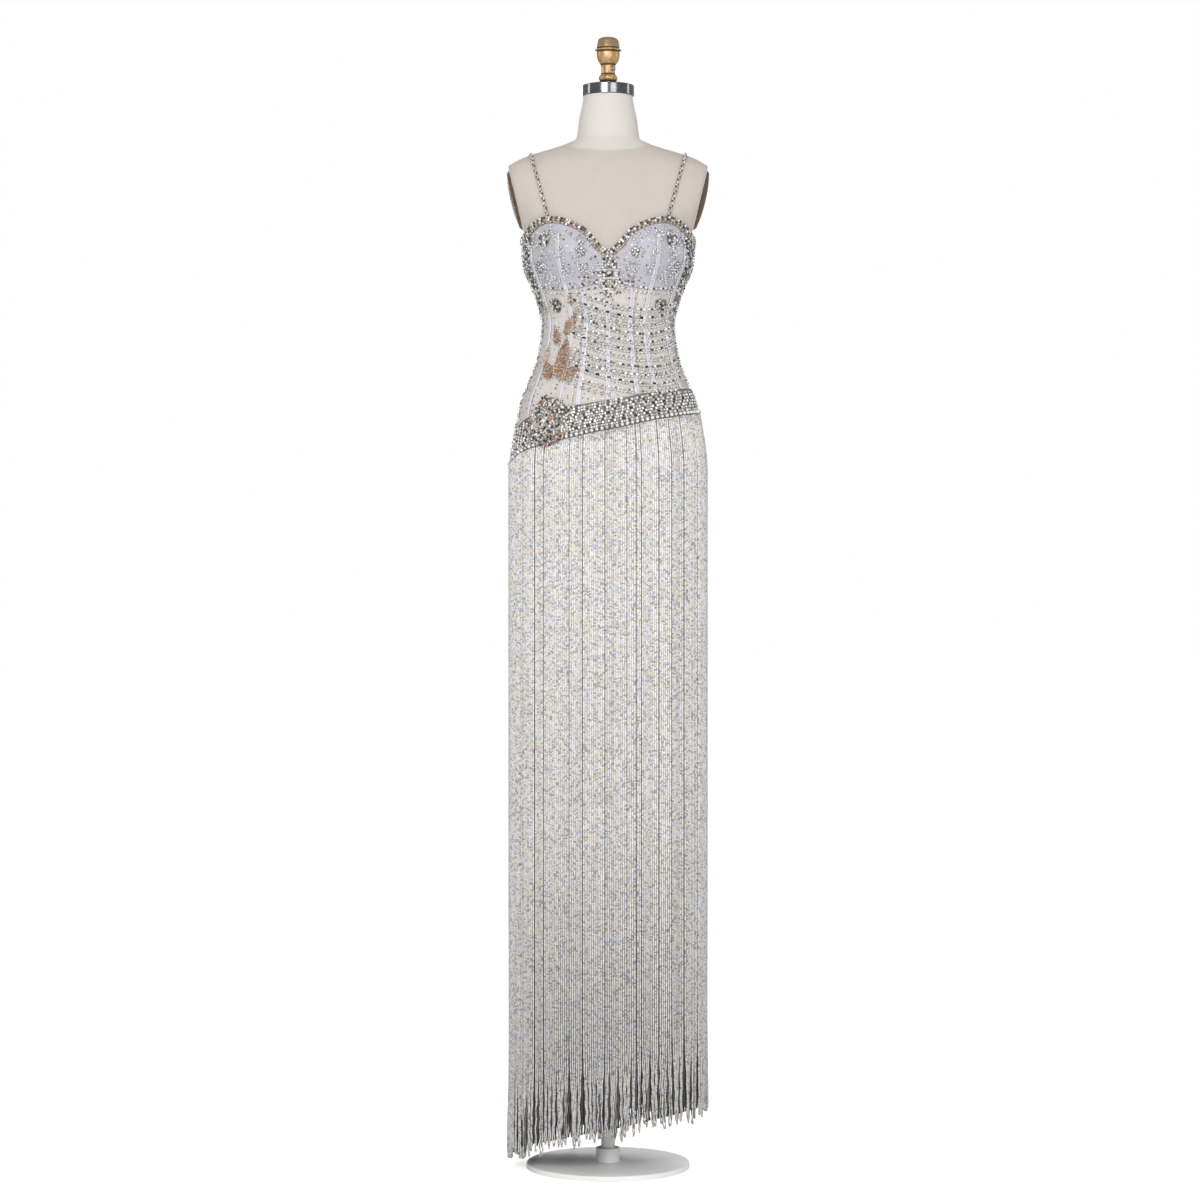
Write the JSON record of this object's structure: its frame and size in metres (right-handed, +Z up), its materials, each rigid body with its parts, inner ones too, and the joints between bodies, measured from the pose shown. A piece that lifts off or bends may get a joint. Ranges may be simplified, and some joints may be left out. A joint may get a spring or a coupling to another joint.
{
  "type": "fringed evening gown on a dress form",
  "caption": "Strapped corset-bodice evening gown with a slanting jewelled hip band and floor-length bead fringe, worn by a limbless dress form on a plain round stand.",
  "frame": {"origin": "centre of the round base's underside, on the floor, with the pole on the Z axis", "axes": "+Z up along the pole to the finial, -Y the way the form faces, +X the wearer's left"},
  "size_m": [0.371, 0.3, 2.0745],
  "materials": {
    "linen": "cream linen cover, matt",
    "armplate": "brown stain, satin",
    "steel": "brushed round the neck",
    "gilt_wood": "turned wood, old gold paint",
    "stand_paint": "off-white powder coat",
    "sheer_net": "sheer nude net",
    "cup_net": "pale lavender net over a lining",
    "boning_ribbon": "white ribbon, soft sheen",
    "slip_satin": "pale grey satin",
    "rhinestone": "foiled crystal in close rows",
    "bead_fringe": "silver-lined glass beads on thread"
  },
  "bodies": {
    "root": {"form_body": "linen", "form_armplate_left": "armplate", "form_armplate_right": "armplate", "form_neck_cap": "steel", "form_stem": "steel", "form_finial": "gilt_wood", "form_finial_screw": "steel", "form_base": "stand_paint", "form_hub": "stand_paint", "form_pole": "stand_paint", "cup_left": "cup_net", "cup_right": "cup_net", "bodice_front_centre": "sheer_net", "bodice_front_left": "sheer_net", "bodice_front_right": "sheer_net", "bodice_side_left": "sheer_net", "bodice_side_right": "sheer_net", "bodice_back_left": "sheer_net", "bodice_back_right": "sheer_net", "back_placket": "sheer_net", "channel_centre": "boning_ribbon", "channel_left_1": "boning_ribbon", "channel_right_1": "boning_ribbon", "channel_left_2": "boning_ribbon", "channel_right_2": "boning_ribbon", "channel_left_3": "boning_ribbon", "channel_right_3": "boning_ribbon", "channel_left_4": "boning_ribbon", "channel_right_4": "boning_ribbon", "channel_left_5": "boning_ribbon", "channel_right_5": "boning_ribbon", "trim_front": "rhinestone", "trim_back_left": "rhinestone", "trim_back_right": "rhinestone", "strap_left": "rhinestone", "strap_right": "rhinestone", "rosette_cup_left": "rhinestone", "rosette_cup_right": "rhinestone", "rosette_waist_left": "rhinestone", "rosette_waist_right": "rhinestone", "hip_band_front": "rhinestone", "hip_band_back": "rhinestone", "hip_brooch": "rhinestone", "slip_front": "slip_satin", "slip_back": "slip_satin", "fringe_front": "bead_fringe", "fringe_back": "bead_fringe"}
  },
  "joints": []
}
